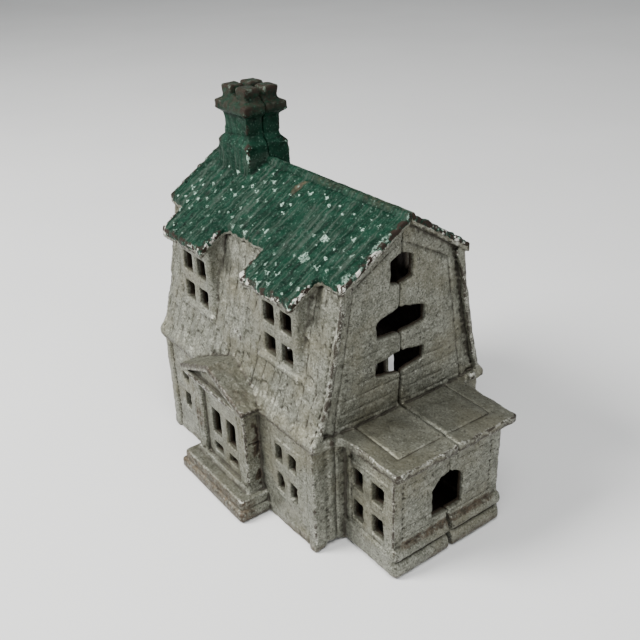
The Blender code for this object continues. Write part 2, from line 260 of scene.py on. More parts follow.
class Field:
    """A distance field on a grid, negative inside the iron."""

    def __init__(self, low, high, cell):
        self.low = np.array(low, np.float32)
        self.cell = cell
        self.axes = [np.arange(a, b, cell, dtype=np.float32) for a, b in zip(low, high)]
        self.value = np.full([len(a) for a in self.axes], REACH, np.float32)
        self.chips = np.zeros_like(self.value)

    def window(self, low, high, pad=REACH):
        """The grid slices over a box, and its x, out and z as arrays that broadcast."""
        cuts = tuple(
            slice(*np.searchsorted(axis, (a - pad, b + pad)))
            for axis, a, b in zip(self.axes, low, high)
        )
        x, out, z = (axis[cut] for axis, cut in zip(self.axes, cuts))
        return cuts, x[:, None, None], out[None, :, None], z[None, None, :]

    def add(self, cuts, distance, k=0.4):
        near = np.clip(distance, -REACH, REACH)
        self.value[cuts] = blend_min(self.value[cuts], near, k)

    def cut(self, cuts, distance, k=0.4):
        near = np.clip(distance, -REACH, REACH)
        self.value[cuts] = -blend_min(-self.value[cuts], near, k)

    def box(self, low, high, radius=0.4, k=0.4, carve=False, relief=None):
        cuts, x, out, z = self.window(low, high)
        half = [(b - a) / 2 - radius for a, b in zip(low, high)]
        middle = [(a + b) / 2 for a, b in zip(low, high)]
        d = [np.abs(p - m) - h for p, m, h in zip((x, out, z), middle, half)]
        outer = np.sqrt(sum(np.maximum(part, 0) ** 2 for part in d))
        distance = outer + np.minimum(np.maximum(np.maximum(d[0], d[1]), d[2]), 0) - radius
        if relief is not None:
            distance = distance - relief(x, out, z)
        (self.cut if carve else self.add)(cuts, distance, k)

    def sample(self, field, points):
        """Values of a field between the grid's points."""
        place = (points - self.low) / self.cell
        base = np.clip(np.floor(place).astype(int), 0, np.array(field.shape) - 2)
        t = np.clip(place - base, 0, 1)
        total = np.zeros(len(points))
        for corner in np.ndindex(2, 2, 2):
            weight = np.prod([t[:, i] if c else 1 - t[:, i] for i, c in enumerate(corner)], axis=0)
            i, j, k = (base + corner).T
            total += weight * field[i, j, k]
        return total


# ---- the castings ----


def shingle_cells(across, down, width, length, seed, bow=0.0):
    """Each place's column and row of shingles, and its share across and down its own shingle."""
    place = across / width + 500
    column = np.floor(place).astype(int)
    c = place - column
    random = np.random.default_rng(seed).uniform(0, 1, (3, 1024))
    phase = 0.5 * (column % 2) + 0.4 * random[0][column % 1024]
    t = (down - bow * (2 * c - 1) ** 2) / length + phase + 500
    row = np.floor(t)
    return column, row.astype(int), c, t - row, random


def shingles(across, down, width, length, thick, gap, seed, bow=0.5, tilt=0.0):
    """Height of overlapping shingles in columns, thickest at their lower ends."""
    column, row, c, t, random = shingle_cells(across, down, width, length, seed, bow)
    own = (column * 7 + row * 13) % 1024
    wedge = t * ramp(t, 1.0, 0.9)
    lean = (tilt + 0.5 * (random[2][own] - 0.5) * thick) * (2 * c - 1)
    split = gap * ramp(np.abs(2 * c - 1), 0.7, 1.0)
    return thick * (0.45 + 0.9 * random[1][own]) * wedge + lean - split


def shingle_hooks(across, down, width, length, seed):
    """1 on a short hook at the lower corner of most shingles, where paint has come away."""
    column, row, c, t, random = shingle_cells(across, down, width, length, seed)
    own = (column * 11 + row * 17) % 1024
    reach = 1.0 + 1.8 * random[1][own]
    across_mm, down_mm = (1 - c) * width, (1 - t) * length
    foot = ramp(np.abs(down_mm - 0.3 * across_mm - 0.35), 0.5, 0.1)
    foot = foot * ramp(across_mm, reach, reach - 0.4)
    side = ramp(np.abs(across_mm - 0.4), 0.5, 0.1) * ramp(down_mm, 0.8 * reach, 0.8 * reach - 0.4)
    return np.maximum(foot, side) * ramp(random[2][own], 0.5, 0.55)


def beads(along, middle_distance, pitch, half, depth):
    """A line of round pits: negative relief along a line."""
    wave = 0.5 + 0.5 * np.cos(2 * pi * along / pitch)
    return -depth * (0.35 + 0.65 * wave) * np.maximum(0, 1 - (middle_distance / half) ** 2)


def siding(z, pitch, start, depth, half=0.35):
    """Thin level grooves of weatherboard."""
    t = np.abs((z - start + pitch / 2) % pitch - pitch / 2)
    return -depth * np.maximum(0, 1 - t / half)


def gable_relief(out, z):
    """Ornament of the gable walls: a sunk line round a panel, a beaded band, and boards."""
    panel = [(0.0, 76.6), (14.1, 68.9), (20.4, 33.8), (20.4, 0.0), (0.0, 0.0), (-9.0, 0.0),
             (-9.0, 76.6)]
    edge = polygon_distance(out, z, panel)
    line = -0.42 * groove(edge, 0, 0.5)
    lower = ramp(z, 62.0, 44.0)
    board_line = siding(z, 3.3, 1.2 + 0.02 * out, 0.26, 0.4) * (0.25 + 0.75 * lower)
    boards = board_line * ramp(edge, 0.2, -0.8)
    band = beads(z, edge - 2.6, 1.7, 0.9, 0.35) * ramp(z, 70.0, 66.0)
    rough = 0.14 * noise((out, z), 1.1, 3) + 0.2 * noise(
        (out, z), 7.0, 4)
    return line + boards + band + rough[None]


def wall_relief(x, z, side):
    """Ornament of the long walls: a beaded corner strip and raised window surrounds."""
    far = np.abs(x)
    nearer = WINDOW_SHIFT * (x < 0) * (side == FRONT)
    strip = 0.5 * ramp(far, 33.6, 34.1)
    line = beads(z, far - 33.3, 1.6, 0.45, 0.4)
    surround = box2(far - WINDOW_X + nearer, z - 17.9, 5.9, 8.6, 0.4)
    frame_line = 0.35 * ramp(surround, 0.4, 0.0) - 0.2 * groove(surround, -0.6, 0.4)
    base = 0.3 * ramp(z, 3.4, 3.0)
    rough = 0.12 * noise((x, z), 1.2, 11) + 0.25 * noise(
        (x, z), 8.0, 12)
    return (strip + line + frame_line + base + rough[:, None, :]) * ramp(z, 31.5, 30.5)


def body(f, side):
    """The walls and the bell-cast steep roof."""
    cuts, x, out, z = f.window((-BODY_X - 2, -2, -1), (BODY_X + 2, EAVE_Y + 1, RIDGE_Z))
    outline = [(-9, 0), (BODY_Y, 0), (BODY_Y, EAVE_Z - 1.0), (25.0, 36.4), (23.3, 41.5),
               (21.8, 48.0), (17.2, ROOF_Z - 1.0), (-9, RIDGE_Z + 3)]
    section = polygon_distance(out, z, outline)
    ends = np.abs(x) - BODY_X - gable_relief(out, z)
    f.add(cuts, both(section - wall_relief(x, z, side), ends, 0.5))


def steep_roof(f):
    cuts, x, out, z = f.window((-STEEP_X, 12, EAVE_Z - 4), (STEEP_X, EAVE_Y + 2, ROOF_Z + 1))
    outline = [(25.6, EAVE_Z - 2.0), (EAVE_Y - 0.2, EAVE_Z - 1.3), (EAVE_Y - 0.15, EAVE_Z - 0.2),
               (25.45, 36.4), (23.9, 41.5), (22.4, 48.0), (18.1, ROOF_Z - 3.0),
               (16.8, ROOF_Z - 1.3), (15.5, ROOF_Z - 2.0), (16.9, ROOF_Z - 3.8), (21.2, 47.7),
               (22.6, 41.2), (24.1, 36.3), (24.8, EAVE_Z)]
    section = polygon_distance(out, z, outline)
    flat = (x, z)
    wander = (0.9 * noise(flat, 9.0, 21) + 0.25 * noise(flat, 2.5, 24))[:, None, :]
    slats = shingles(x + wander, -z, *SLAT, 0.45, 0.3, 22, 1.3)
    slats = slats * ramp(z, EAVE_Z + 1.0, EAVE_Z + 3.5)
    streaks = noise((x * 4.5, z), 4.0, 25)
    lumps = (0.22 * noise(flat, 3.2, 23) + 0.2 * streaks + 0.1 * noise(flat, 1.0, 26))[:, None, :]
    edge = STEEP_X - np.abs(x)
    worn = ramp(edge, 1.3, 2.2)
    stitches = beads(z, edge - 1.5, 1.9, 0.4, 0.9) * ramp(section, -1.2, -0.3)
    relief = slats * worn + lumps + stitches
    f.add(cuts, both(section - relief - 0.15, -edge, 0.3), 0.3)


def dormers(f):
    for middle in DORMERS:
        cuts, x, out, z = f.window((middle - 13, 8, 38), (middle + 13, 28, 76), 0)
        across = np.abs(x - middle)
        flare = 0.9 * ramp(z, 64, 70)
        face = box2(across, out - 10, DORMER_HALF - 0.3 + flare, DORMER_Y - 10 + flare, 1.0)
        dormer = both(face, DORMER_FOOT - z, 0.5)
        under = z - RIDGE_Z + PITCH * out + 3.2
        f.add(cuts, both(dormer, under, 0.2), 3.0)

        cuts, x, out, z = f.window((middle - 10, 20, 42), (middle + 10, 26, 66), 1)
        across = np.abs(x - middle)
        panel = box2(across, z - 54.2, 7.0, 8.4, 0.4)
        front = out - (DORMER_Y - 0.1)
        ridge = both(both(np.abs(panel + 0.35) - 0.5, front - 0.15, 0.1), 19.0 - out)
        f.add(cuts, ridge, 0.3)
        bars = both(np.minimum(np.abs(z - 53.9) - 0.9, across - 0.8), front - 0.2, 0.3)
        f.add(cuts, both(both(bars, panel, 0.1), 19.0 - out), 0.3)

        sill = ((middle - DORMER_HALF - 0.6, 19.0, DORMER_FOOT - 0.3),
                (middle + DORMER_HALF + 0.3, DORMER_Y + 0.8, DORMER_FOOT + 0.9))
        f.box(*sill, radius=0.5, k=0.8)
        knob = (middle + DORMER_HALF - 0.4, DORMER_Y - 0.2, DORMER_FOOT - 0.3)
        f.box([c - 0.95 for c in knob], [c + 0.95 for c in knob], radius=0.9, k=0.6)


def upper_roof(f, side):
    """The shallow slope, its dormer roofs and its chipped eaves, as a slab with one footprint."""
    cuts, x, out, z = f.window((-ROOF_X - 1, -2, 62), (ROOF_X + 1, DORMER_ROOF_Y + 1, RIDGE_Z + 1))
    flat_x, flat_out = x[:, :, 0], out[:, :, 0]
    plan = box2(flat_x, flat_out, ROOF_X - 0.2, ROOF_Y, 0.5)
    for middle in DORMERS:
        arm = box2(flat_x - middle, flat_out - 10, DORMER_ROOF_HALF, DORMER_ROOF_Y - 10, 0.7)
        plan = blend_min(plan, arm, 1.6)
    plan = plan + 0.3 * noise((x, out), 2.4, 31) + 0.22 * noise(
        (x, out), 0.9, 32)
    over = (z - RIDGE_Z + PITCH * out) * cos(SLOPE)
    down = flat_out / cos(SLOPE)
    wander = 0.35 * noise((x, out), 6.0, 33)
    tiles = shingles(flat_x + wander, down, *TILE, 0.34, 0.08, TILE_SEED, 0.1, 0.1)
    tiles = tiles + 0.1 * noise((x, out), 1.1, 35)
    streaks = noise((x, out / 16), 0.8, 36)
    tiles = tiles + 0.15 * streaks
    hooks = shingle_hooks(flat_x + wander, down, *TILE, TILE_SEED)
    hooks = hooks * ramp(flat_out, 2.6, 3.4)
    for along, off, half_along, half_off in LARGE_CHIPS if side == FRONT else ():
        round_it = ((flat_x - along) / half_along) ** 2 + ((flat_out - off) / half_off) ** 2
        hooks = np.maximum(hooks, ramp(round_it, 1.5, 0.5))
    f.chips[cuts] = hooks[:, :, None]
    capping = 0.35 * ramp(flat_out, 1.3, 0.9) - 0.3 * groove(flat_out, 1.6, 0.45)
    tiles = np.where(flat_out < 1.6, 0.12, tiles) + capping
    slab = np.abs(over + ROOF_THICK / 2) - ROOF_THICK / 2
    slab = slab - np.where(over > -ROOF_THICK / 2, (tiles - 0.25)[:, :, None], 0)
    f.add(cuts, both(plan[:, :, None] * cos(SLOPE), slab, 0.35), 0.6)


def chimney(f):
    cuts, x, out, z = f.window((CHIMNEY_X - 9, -2, 74), (CHIMNEY_X + 9, 8, CHIMNEY_TOP + 1))
    heights, half_x, half_out = zip(*CHIMNEY_SECTIONS)
    wide = np.interp(z, heights, half_x) + 0.22 * noise((z,), 2.1, 41)
    deep = np.interp(z, heights, half_out)
    stack = box2(x - CHIMNEY_X, out, wide - 0.1, deep - 0.1, 0.4)
    crack = 0.5 * groove(z, 91.3 + 0.1 * x, 0.35) + 0.5 * groove(z, 97.9, 0.5)
    rough = 0.2 * noise((x, out, z), 1.3, 42)
    f.add(cuts, both(stack + crack * 0.6 + rough, z - CHIMNEY_TOP + 0.1, 0.6), 0.4)
    wide = 1.05 + 0.15 * noise((out,), 2.0, 43)[None, :, None]
    slot = both(np.abs(x - CHIMNEY_X) - wide, 99.0 - z, 0.5)
    f.cut(cuts, slot, 0.7)
    cross = both(out - 0.55, 99.2 - z, 0.3)
    f.cut(cuts, cross, 0.9)


def porch(f):
    def end_wall(x, out, z):
        """Boards, a beaded line near the corner, and a second beaded line beside it on the end wall.
        """
        at_end = ramp(x, PORCH_X - 1.5, PORCH_X - 0.5)
        board_line = siding(z, 3.05, 10.4, 0.3, 0.4) * ramp(out, 14.6, 14.0)
        beaded = beads(z, out - 14.4, 1.5, 0.5, 0.5) * ramp(z, 9.0, 10.5) * ramp(z, 27.5, 26.5)
        corner = beads(z, out - PORCH_Y + 0.9, 1.3, 0.5, 0.25)
        return (board_line + beaded + corner) * at_end

    def side_wall(x, out, z):
        at_side = ramp(out, PORCH_Y - 1.5, PORCH_Y - 0.5)
        pane = box2(x - PORCH_WINDOW_X, z - 16.9, 7.0, 9.6, 0.5)
        near = beads(z, x - 38.6, 1.7, 0.9, 0.5)
        return (0.3 * ramp(pane, 0.5, 0.1) - 0.25 * groove(pane, -0.6, 0.4) + near) * at_side

    def skin(x, out, z):
        return end_wall(x, out, z) + side_wall(x, out, z) + 0.14 * noise(
            (x, out, z), 1.2, 51)

    f.box((30, -4, 0), (PORCH_X, PORCH_Y, 32), 0.45, 0.6, relief=skin)
    f.box((30, -4, 0), (PLINTH_X, PLINTH_Y, PLINTH_Z), 1.7, 0.2)
    f.box((44, -4, LEDGE_LOW), (PLINTH_X, PLINTH_Y + 0.2, LEDGE_HIGH - 0.6), 1.5, 0.2)
    f.box((52, -4, LEDGE_HIGH - 2.2), (PLINTH_X - 0.5, PLINTH_Y - 0.2, LEDGE_HIGH), 0.7, 0.5)
    f.box((30, -4, 1), (PORCH_X + 0.2, PLINTH_Y + 0.15, LEDGE_HIGH - 1.4), 0.7, 0.3)

    cuts, x, out, z = f.window((30, -4, PORCH_ROOF_LOW), (PORCH_ROOF_X, 27, PORCH_ROOF_Z + 2))
    flat_x, flat_out = x[:, :, 0], out[:, :, 0]
    plan = box2(flat_x - 30, flat_out, PORCH_ROOF_X - 30, PORCH_ROOF_Y, 0.7)
    root = box2(flat_x - 30, flat_out, BODY_X + 0.8 - 30, 24.4, 0.4)
    plan = blend_min(plan, root, 3.6)
    plan = plan + 0.2 * noise((x, out), 1.6, 52)
    panel = box2(flat_x - 44.6, flat_out - 7.3, 7.7, 7.3, 0.5)
    engraved = 0.38 * groove(panel, 0, 0.45) - 0.12 * ramp(panel, 0, -0.6)
    seam_rise = 0.35 * ramp(flat_out, 2.5, 0.8)
    top = PORCH_ROOF_Z - 0.1 + 0.016 * (44 - flat_x) - engraved + seam_rise
    top = top + 0.12 * noise((x, out), 2.0, 53)
    slab = np.maximum(z - top[:, :, None], PORCH_ROOF_LOW + 0.15 - z)
    f.add(cuts, both(plan[:, :, None], slab, 0.35), 0.5)
    bump = (BODY_X + 1.4, 23.0, PORCH_ROOF_Z)
    f.box([c - 1.2 for c in bump], [c + 1.2 for c in bump], 1.1, 1.2)


def eave_return(f):
    """The lip of the flared eave, and the eave carried round the corner to the porch roof."""
    def ragged(x, out, z):
        return 0.12 * noise((x, z), 1.4, 71)[:, None, :]

    f.box((0.2 - STEEP_X, 24, EAVE_Z - 2.0), (STEEP_X - 0.2, EAVE_Y + 0.05, EAVE_Z - 0.55), 0.3, 0.2,
          relief=ragged)
    for end in (-1, 1):
        cuts, x, out, z = f.window(
            (min(34 * end, 39 * end), 22, EAVE_Z - 3), (max(34 * end, 39 * end), EAVE_Y, EAVE_Z + 1))
        ledge = both(np.abs(x) - STEEP_X + 0.2, np.abs(z - EAVE_Z + 0.95) - 0.85, 0.6)
        f.add(cuts, both(ledge, out - EAVE_Y + 0.5, 0.5), 0.7)


def portico(f):
    def skin(x, out, z):
        """Pilasters and a leaf's mouldings on the face, one block joint on the cheeks."""
        face = ramp(out, PORTICO_Y - 1.2, PORTICO_Y - 0.4)
        cheek = ramp(np.abs(x), PORTICO_HALF - 1.2, PORTICO_HALF - 0.4) * (1 - face)
        joint = -0.5 * groove(z, 18.2 + 0.1 * out, 0.45) * cheek
        fluting = 0.16 * np.cos(2 * pi * np.abs(x) / 1.6) * face * ramp(np.abs(x), 9.4, 9.8)
        cap = 0.35 * ramp(z, 27.2, 27.8) * face
        return joint + fluting + cap + 0.12 * noise((x, out, z), 1.1, 61)

    f.box((-PORTICO_HALF, 20, 0), (PORTICO_HALF, PORTICO_Y, 33.2), 0.4, 0.5, relief=skin)
    f.box((-9.0, PORTICO_Y - 1.1, STEP_TOP_Z + 0.4), (9.0, PORTICO_Y + 4, 29.2), 0.4, 0.4, carve=True)

    cuts, x, out, z = f.window((-17, 20, 28), (17, PEDIMENT_Y + 1, PEDIMENT_APEX_Z + 2))
    gable = [(-PEDIMENT_HALF, PEDIMENT_EAVE_Z), (0.0, PEDIMENT_APEX_Z),
             (PEDIMENT_HALF, PEDIMENT_EAVE_Z), (PEDIMENT_HALF - 0.3, PEDIMENT_EAVE_Z - 1.0),
             (13.4, PEDIMENT_EAVE_Z - 1.7), (-13.4, PEDIMENT_EAVE_Z - 1.7),
             (0.3 - PEDIMENT_HALF, PEDIMENT_EAVE_Z - 1.0)]
    section = polygon_distance(x, z, gable)
    rough = 0.16 * noise((x, out), 0.9, 62)[:, :, None]
    f.add(cuts, both(section + rough, np.maximum(out - PEDIMENT_Y + 0.1, 18 - out), 0.25), 0.4)
    hollow = [(-12.4, PEDIMENT_EAVE_Z - 0.3), (0.0, PEDIMENT_APEX_Z - 1.8),
              (12.4, PEDIMENT_EAVE_Z - 0.3)]
    hollow = polygon_distance(x, z, hollow)
    f.cut(cuts, both(hollow, PEDIMENT_Y - 1.5 - out, 0.2), 0.3)
    trim = both(np.abs(hollow - 0.45) - 0.28, out - PEDIMENT_Y - 0.05, 0.2)
    f.add(cuts, both(trim, PEDIMENT_Y - 2 - out), 0.2)
    f.box((-13.6, 26, 29.6), (13.6, PORTICO_Y + 0.7, 30.8), 0.4, 0.3)

    f.box((-STEP_HALF, 20, 0), (STEP_HALF, STEP_Y, STEP_TIER_Z + 0.2), 1.0, 0.25)
    f.box((0.9 - STEP_HALF, 20, 1), (STEP_HALF - 0.9, STEP_Y - 0.9, STEP_TOP_Z), 0.9, 0.25)
    f.box((-PORTICO_HALF - 0.5, 20, STEP_TOP_Z - 1), (PORTICO_HALF + 0.5, PORTICO_Y + 0.5, 7.2),
          0.5, 0.6)


def rear_door(f):
    f.box((-9.4, 20, 0), (9.4, BODY_Y + 0.9, 28.6), 0.5, 0.4)
    f.box((-8.2, BODY_Y + 0.2, 6.5), (8.2, BODY_Y + 3, 27.4), 0.3, 0.3, carve=True)


def panes(f, middle, columns, rows, near, far):
    for low, high in columns:
        for sill, head in rows:
            f.box((middle + low, near, sill), (middle + high, far, head), 0.45, 0.3, carve=True)


def hollow(f, side):
    """The inside of the casting."""
    cuts, x, out, z = f.window((-BODY_X, -4, 0), (BODY_X, BODY_Y, RIDGE_Z))
    inner = [(-9, FLOOR), (BODY_Y - WALL, FLOOR), (BODY_Y - WALL, EAVE_Z - 1.6), (23.0, 36.6),
             (21.5, 41.6), (20.0, 48.0), (15.9, ROOF_Z - 3.4),
             (14.6, RIDGE_Z - 3.4 - 14.6 * PITCH), (-9, RIDGE_Z - 3.4 + 9 * PITCH)]
    section = polygon_distance(out, z, inner)
    f.cut(cuts, both(section, np.abs(x) - BODY_X + WALL, 1.5), 0.5)
    f.box((BODY_X - 5, -4, FLOOR), (PORCH_X - WALL, PORCH_Y - WALL, PORCH_ROOF_LOW), 1.2, 1.2,
          carve=True)
    for middle in DORMERS:
        f.box((middle - DORMER_HALF + WALL, 10, 46.6), (middle + DORMER_HALF - WALL, DORMER_Y - 2, 66),
              1.2, 1.5, carve=True)
    if side == FRONT:
        f.box((WALL - PORTICO_HALF, 18, FLOOR), (PORTICO_HALF - WALL, PORTICO_Y - 3.2, 30.6), 1.2,
              1.2, carve=True)


def gable_windows(f):
    """Openings that two castings share across the seam, with sloping sills and heads."""
    rows = ((3.4, 66.9, 66.1, 72.3, 73.5), (7.6, 54.0, 53.2, 58.3, 60.0),
            (7.6, 43.5, 42.3, 46.9, 48.4))
    for half, sill, seam_sill, head, seam_head in rows:
        outline = [(-half, sill - 2 * (sill - seam_sill)), (0.0, seam_sill), (half, sill),
                   (half, head), (1.2, seam_head), (-half, seam_head)]
        for end in (-1, 1):
            low = min(end * (BODY_X - 5), end * (BODY_X + 2))
            cuts, x, out, z = f.window((low, -3, sill - 3), (low + 7, half + 3, seam_head + 3))
            section = polygon_distance(out, z, outline) + 0.12 * noise(
                (out, z), 1.4, 70)[None]
            through = np.abs(x - end * (BODY_X - 1)) - 3.5
            f.cut(cuts, both(section, through, 0.3), 0.4)


def openings(f, side):
    shift = WINDOW_SHIFT if side == FRONT else 0
    for middle in (shift - WINDOW_X, WINDOW_X):
        panes(f, middle, WINDOW_COLUMNS, WINDOW_ROWS, 22.5, 29)
    for middle in DORMERS:
        panes(f, middle, pair(1.3, 5.9), ((47.2, 52.2), (55.5, 60.9)), 19, 26)
    panes(f, PORCH_WINDOW_X, pair(1.65, 5.8), ((9.2, 15.1), (18.9, 24.6)), 14, 20)
    top = 23.1 if side == FRONT else 24.3
    panes(f, 0, pair(1.5, 6.0), ((9.0, 12.0), (15.0, top)), 24, 33)
    for low, high in WINDOW_COLUMNS:
        for sill, head in WINDOW_ROWS:
            f.box((-BODY_X - 2, END_WINDOW_Y + low, sill), (5 - BODY_X, END_WINDOW_Y + high, head),
                  0.55, 0.7, carve=True)

    cuts, x, out, z = f.window((PORCH_X - 4, -3, 9), (PORCH_X + 2, 8, 26))
    outline = [(-5.0, 11.5), (5.0, 11.5), (5.0, 20.0), (3.6, 21.7), (0.6, 23.2), (-5.0, 23.2)]
    section = polygon_distance(out, z, outline)
    f.cut(cuts, both(section, np.abs(x - PORCH_X + 1) - 3, 0.3), 0.45)
    gable_windows(f)


def screw_post(f, side):
    """The post that the halves are drawn together through, and its bore."""
    cuts, x, out, z = f.window((-9, -2, SCREW_Z - 9), (9, 26, SCREW_Z + 9), 0)
    around = np.sqrt(x ** 2 + (z - SCREW_Z) ** 2)
    if side == FRONT:
        f.add(cuts, both(around - POST_R, out - 23, 0.3), 1.5)
        f.cut(cuts, both(around - BORE_R, out - 12.5, 0.1), 0.5)
        return
    radius = POST_R + (BOSS_R - POST_R) * np.clip((out - 14) / 8.2, 0, 1)
    f.add(cuts, both(around - radius, out - BOSS_END, 0.3), 1.5)
    f.cut(cuts, around - BORE_R, 0.3)
    f.cut(cuts, both(around - RECESS_R, RECESS_FLOOR - out, 0.2), 0.6)


def coin_slot(f):
    cuts, x, out, z = f.window((-20, 4, 66), (20, 15, RIDGE_Z))
    slot = box2(x, out - SLOT_Y, *SLOT_HALF, 1.2)
    f.cut(cuts, slot, 0.9)
    rim = both(np.abs(slot - 0.9) - 0.7, np.abs((z - RIDGE_Z + PITCH * out) * cos(SLOPE)) - 0.5, 0.4)
    f.add(cuts, np.maximum(rim, -slot + 0.1), 0.5)


def seam_line(x, z):
    """How far the wavy seam stands off the middle plane, towards the rear."""
    broad = 0.55 * noise((x, z), 5.0, 81)[:, None, :] * ramp(z, 80, 70)
    return broad + 0.12 * noise((x, z), 1.4, 82)[:, None, :]


def trim(f, side):
    """Ends the casting at the seam and on the ground, with worn rims."""
    cuts, x, out, z = f.window((-60, -2, -2), (60, 2.5, 105), 0)
    line = side * seam_line(x, z)
    tall = z - 0.6 * ramp(x, 38, 40) * ramp(z, 30, 31)
    middle_gap = 0.3 * ramp(tall, 46, 40) * ramp(tall, 31, 34.5)
    gap = 0.12 + middle_gap + 0.45 * ramp(z, 11, 8) * ramp(x, 45, 50)
    gap = gap * (1 - 0.6 * ramp(x, 38, 40) * ramp(np.abs(z - 33), 1.5, 0.5))
    f.cut(cuts, out - line - gap, 0.55)
    cuts, x, out, z = f.window((-60, -2, -2), (60, 40, 2), 0)
    f.cut(cuts, z, 0.8)
    for end in (-1, 1):
        cuts, x, out, z = f.window((end * 36 - 6, 17, -2), (end * 36 + 6, BODY_Y, 5), 0)
        arch = 1.5 * np.sin(pi * np.clip((out - 18.0) / 7.6, 0, 1))
        f.cut(cuts, both(z - arch, np.abs(x - end * 37) - 3.5, 0.3), 0.8)


def casting_field(side):
    f = Field((-42, -1.2, -1.3), (60, 38.4, 104), CELL)
    body(f, side)
    dormers(f)
    steep_roof(f)
    eave_return(f)
    upper_roof(f, side)
    chimney(f)
    porch(f)
    if side == FRONT:
        portico(f)
    else:
        rear_door(f)
    f.outer = f.value.copy()
    hollow(f, side)
    openings(f, side)
    screw_post(f, side)
    if side == REAR:
        coin_slot(f)
    pits = noise(f.axes, 0.8, 90)
    f.value += 0.07 * noise(f.axes, 1.5, 91) + 0.3 * np.maximum(pits - 0.62, 0)
    trim(f, side)
    return f


# ---- meshes ----


def mesh_of(name, points, quads):
    data = bpy.data.meshes.new(name)
    data.vertices.add(len(points))
    data.vertices.foreach_set("co", points.astype(np.float32).ravel())
    data.loops.add(quads.size)
    data.loops.foreach_set("vertex_index", quads.astype(np.int32).ravel())
    data.polygons.add(len(quads))
    data.polygons.foreach_set("loop_start", np.arange(0, quads.size, 4, dtype=np.int32))
    data.update(calc_edges=True)
    data.validate()
    return data


def surface(field):
    """The field's zero surface, as points in millimetres and quads that face out."""
    grid = openvdb.FloatGrid(background=REACH)
    grid.copyFromArray(field.value)
    points, quads = grid.convertToQuads(isovalue=0.0)
    points = points.astype(np.float64) * field.cell + field.low
    a, b, c, d = (points[quads[:, i]] for i in range(4))
    volume = np.einsum("ij,ij->i", a, np.cross(b, c) + np.cross(c, d)).sum()
    return points, quads[:, ::-1] if volume < 0 else quads


def largest_part(points, quads):
    """Drops loose crumbs: keeps the faces joined to the biggest connected piece."""
    label = np.arange(len(points))
    for _ in range(400):
        lowest = label[quads].min(axis=1)
        new = label.copy()
        for i in range(4):
            np.minimum.at(new, quads[:, i], lowest)
        new = new[new]
        if np.array_equal(new, label):
            break
        label = new
    values, counts = np.unique(label, return_counts=True)
    keep = label == values[counts.argmax()]
    index = np.cumsum(keep) - 1
    return points[keep], index[quads[keep[quads].all(axis=1)]]


def decimated(obj, most):
    count = sum(len(p.vertices) - 2 for p in obj.data.polygons)
    if count <= most:
        return
    step = obj.modifiers.new("reduce", "DECIMATE")
    step.ratio = most / count
    graph = bpy.context.evaluated_depsgraph_get()
    done = bpy.data.meshes.new_from_object(obj.evaluated_get(graph))
    obj.modifiers.clear()
    obj.data = done


def linked(name, data):
    obj = bpy.data.objects.new(name, data)
    bpy.context.scene.collection.objects.link(obj)
    return obj


def finished(obj, material, offset):
    """Takes the object from millimetres about the house to its place, and gives it its look."""
    obj.data.transform(Matrix.Translation(offset) @ Matrix.Scale(MM, 4))
    obj.data.shade_smooth()
    obj.data.materials.append(material)
    return obj


def points_of(obj):
    co = np.zeros(len(obj.data.vertices) * 3, np.float32)
    obj.data.vertices.foreach_get("co", co)
    return co.reshape(-1, 3).astype(np.float64)


def store(obj, name, values):
    layer = obj.data.attributes.new(name, "FLOAT", "POINT")
    layer.data.foreach_set("value", np.asarray(values, np.float32))


def rise_over_roof(points):
    """Height over the upper slope, across it. Zero is the slope's top."""
    return (points[:, 2] - RIDGE_Z + PITCH * points[:, 1]) * cos(SLOPE)


def mark(obj, f, points, side):
    """Writes what the material reads: green paint, edges and hollows, rust, and inside."""
    whole = np.clip(0.5 - f.outer / (2 * f.cell), 0, 1)
    cast = np.clip(0.5 - f.value / (2 * f.cell), 0, 1)
    few, many = max(1, round(0.55 / f.cell)), max(2, round(1.6 / f.cell))
    fine = f.sample(blur(whole, few), points)
    broad = f.sample(blur(whole, many), points)
    dent = f.sample(blur(cast, few), points)
    outer_skin = ramp(np.abs(f.sample(f.outer, points)), 0.7, 0.3)
    store(obj, "edge", np.clip((0.5 - fine) * 3.0, -1, 1) * outer_skin)
    store(obj, "crest", np.clip((0.5 - broad) * 2.5, -1, 1) * outer_skin)
    # How hollow each place is; the paints darken by it as painted shade in creases
    store(obj, "dent", np.clip((dent - 0.5) * 3.0, 0, 1))
    x, out, z = points.T
    over = rise_over_roof(points)
    store(obj, "chips", f.sample(f.chips, points) * outer_skin * ramp(over, -1.2, -0.6)
          * ramp(over, 0.9, 0.5))
    stack = (np.abs(x - CHIMNEY_X) < 9) & (out < 8) & (z > 79)
    green = ramp(over, -1.9, -0.9) * ramp(z, 62, 64)
    store(obj, "green", np.where(stack, 1.0, green))
    store(obj, "rust", rust_share(x, out, z, over, side))
    store(obj, "lip", lip_share(x, out, z) * outer_skin)
    store(obj, "inside", inner_share(points, side))


